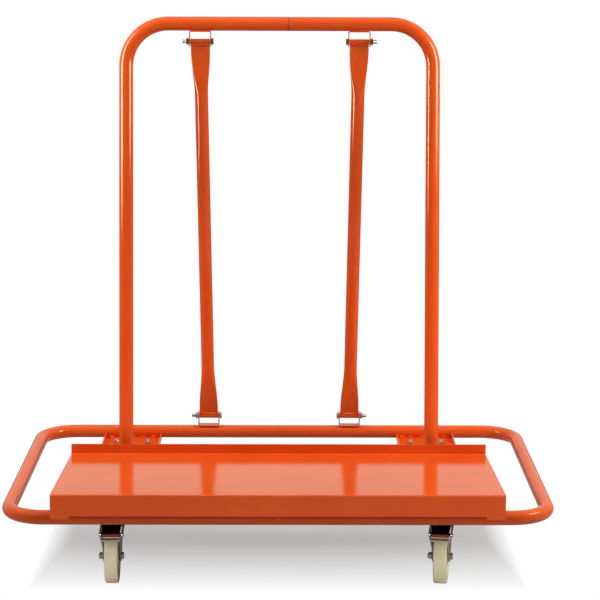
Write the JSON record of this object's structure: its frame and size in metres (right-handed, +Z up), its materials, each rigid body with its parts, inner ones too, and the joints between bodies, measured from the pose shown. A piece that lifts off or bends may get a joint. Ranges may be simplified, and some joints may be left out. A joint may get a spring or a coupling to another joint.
{
  "type": "drywall cart",
  "caption": "Low tube-frame cart on swivel casters for carrying drywall sheets, with a sloping lipped deck and a leaning braced hoop.",
  "frame": {"origin": "on the floor under the middle of the cart's box", "axes": "+Z up, +X to the right along the length, front towards -Y"},
  "size_m": [1.15, 0.7422, 1.1579],
  "materials": {
    "orange_powder_coat": "gloss powder coat on steel",
    "zinc_plate": "bright zinc plate on steel",
    "plain_steel": "plain turned steel, lightly oiled",
    "nylon": "moulded cast nylon, satin"
  },
  "bodies": {
    "frame": {"base_loop_left": "orange_powder_coat", "base_loop_right": "orange_powder_coat", "cross_channel_left": "orange_powder_coat", "cross_channel_right": "orange_powder_coat", "deck": "orange_powder_coat", "deck_bearer_left": "orange_powder_coat", "deck_bearer_right": "orange_powder_coat", "hoop_left": "orange_powder_coat", "hoop_right": "orange_powder_coat", "foot_plate_left": "orange_powder_coat", "foot_plate_right": "orange_powder_coat", "foot_bolts": "zinc_plate", "foot_nuts": "zinc_plate", "brace_left": "orange_powder_coat", "brace_right": "orange_powder_coat", "brace_barrels_left": "orange_powder_coat", "brace_barrels_right": "orange_powder_coat", "upper_brackets": "orange_powder_coat", "lower_brackets": "orange_powder_coat", "brace_bolts": "zinc_plate", "brace_nuts": "zinc_plate", "caster_bolts": "zinc_plate", "caster_nuts": "zinc_plate", "caster_plate_front_left": "zinc_plate", "caster_plate_front_right": "zinc_plate", "caster_plate_rear_left": "zinc_plate", "caster_plate_rear_right": "zinc_plate", "kingpin_front_left": "plain_steel", "kingpin_front_right": "plain_steel", "kingpin_rear_left": "plain_steel", "kingpin_rear_right": "plain_steel"},
    "swivel_front_left": {"fork_front_left": "zinc_plate", "swivel_balls_front_left": "plain_steel", "wheel_bush_front_left": "plain_steel", "axle_bolt_front_left": "zinc_plate", "axle_nut_front_left": "zinc_plate", "brake_pin_front_left": "plain_steel"},
    "brake_front_left": {"brake_pedal_front_left": "zinc_plate"},
    "rolling_front_left": {"wheel_front_left": "nylon"},
    "swivel_front_right": {"fork_front_right": "zinc_plate", "swivel_balls_front_right": "plain_steel", "wheel_bush_front_right": "plain_steel", "axle_bolt_front_right": "zinc_plate", "axle_nut_front_right": "zinc_plate", "brake_pin_front_right": "plain_steel"},
    "brake_front_right": {"brake_pedal_front_right": "zinc_plate"},
    "rolling_front_right": {"wheel_front_right": "nylon"},
    "swivel_rear_left": {"fork_rear_left": "zinc_plate", "swivel_balls_rear_left": "plain_steel", "wheel_bush_rear_left": "plain_steel", "axle_bolt_rear_left": "zinc_plate", "axle_nut_rear_left": "zinc_plate"},
    "rolling_rear_left": {"wheel_rear_left": "nylon"},
    "swivel_rear_right": {"fork_rear_right": "zinc_plate", "swivel_balls_rear_right": "plain_steel", "wheel_bush_rear_right": "plain_steel", "axle_bolt_rear_right": "zinc_plate", "axle_nut_rear_right": "zinc_plate"},
    "rolling_rear_right": {"wheel_rear_right": "nylon"}
  },
  "joints": [
    {"name": "swivel_turn_front_left", "type": "hinge", "parent": "frame", "child": "swivel_front_left", "pos_m": [-0.347, -0.2409, 0.147], "axis": [0, 0, 1], "continuous": true},
    {"name": "wheel_spin_front_left", "type": "hinge", "parent": "swivel_front_left", "child": "rolling_front_left", "pos_m": [-0.34634, -0.27889, 0.057], "axis": [0.9998, 0.0175, 0], "continuous": true},
    {"name": "brake_press_front_left", "type": "hinge", "parent": "swivel_front_left", "child": "brake_front_left", "pos_m": [-0.34578, -0.31089, 0.11243], "axis": [0.9998, 0.0175, 0], "range_deg": [0, 12]},
    {"name": "swivel_turn_front_right", "type": "hinge", "parent": "frame", "child": "swivel_front_right", "pos_m": [0.347, -0.2409, 0.147], "axis": [0, 0, 1], "continuous": true},
    {"name": "wheel_spin_front_right", "type": "hinge", "parent": "swivel_front_right", "child": "rolling_front_right", "pos_m": [0.34171, -0.27853, 0.057], "axis": [0.9903, -0.1392, 0], "continuous": true},
    {"name": "brake_press_front_right", "type": "hinge", "parent": "swivel_front_right", "child": "brake_front_right", "pos_m": [0.33726, -0.31022, 0.11243], "axis": [0.9903, -0.1392, 0], "range_deg": [0, 12]},
    {"name": "swivel_turn_rear_left", "type": "hinge", "parent": "frame", "child": "swivel_rear_left", "pos_m": [-0.347, 0.2431, 0.147], "axis": [0, 0, 1], "continuous": true},
    {"name": "wheel_spin_rear_left", "type": "hinge", "parent": "swivel_rear_left", "child": "rolling_rear_left", "pos_m": [-0.347, 0.2051, 0.057], "axis": [1, 0, 0], "continuous": true},
    {"name": "swivel_turn_rear_right", "type": "hinge", "parent": "frame", "child": "swivel_rear_right", "pos_m": [0.347, 0.2431, 0.147], "axis": [0, 0, 1], "continuous": true},
    {"name": "wheel_spin_rear_right", "type": "hinge", "parent": "swivel_rear_right", "child": "rolling_rear_right", "pos_m": [0.347, 0.2051, 0.057], "axis": [1, 0, 0], "continuous": true}
  ]
}
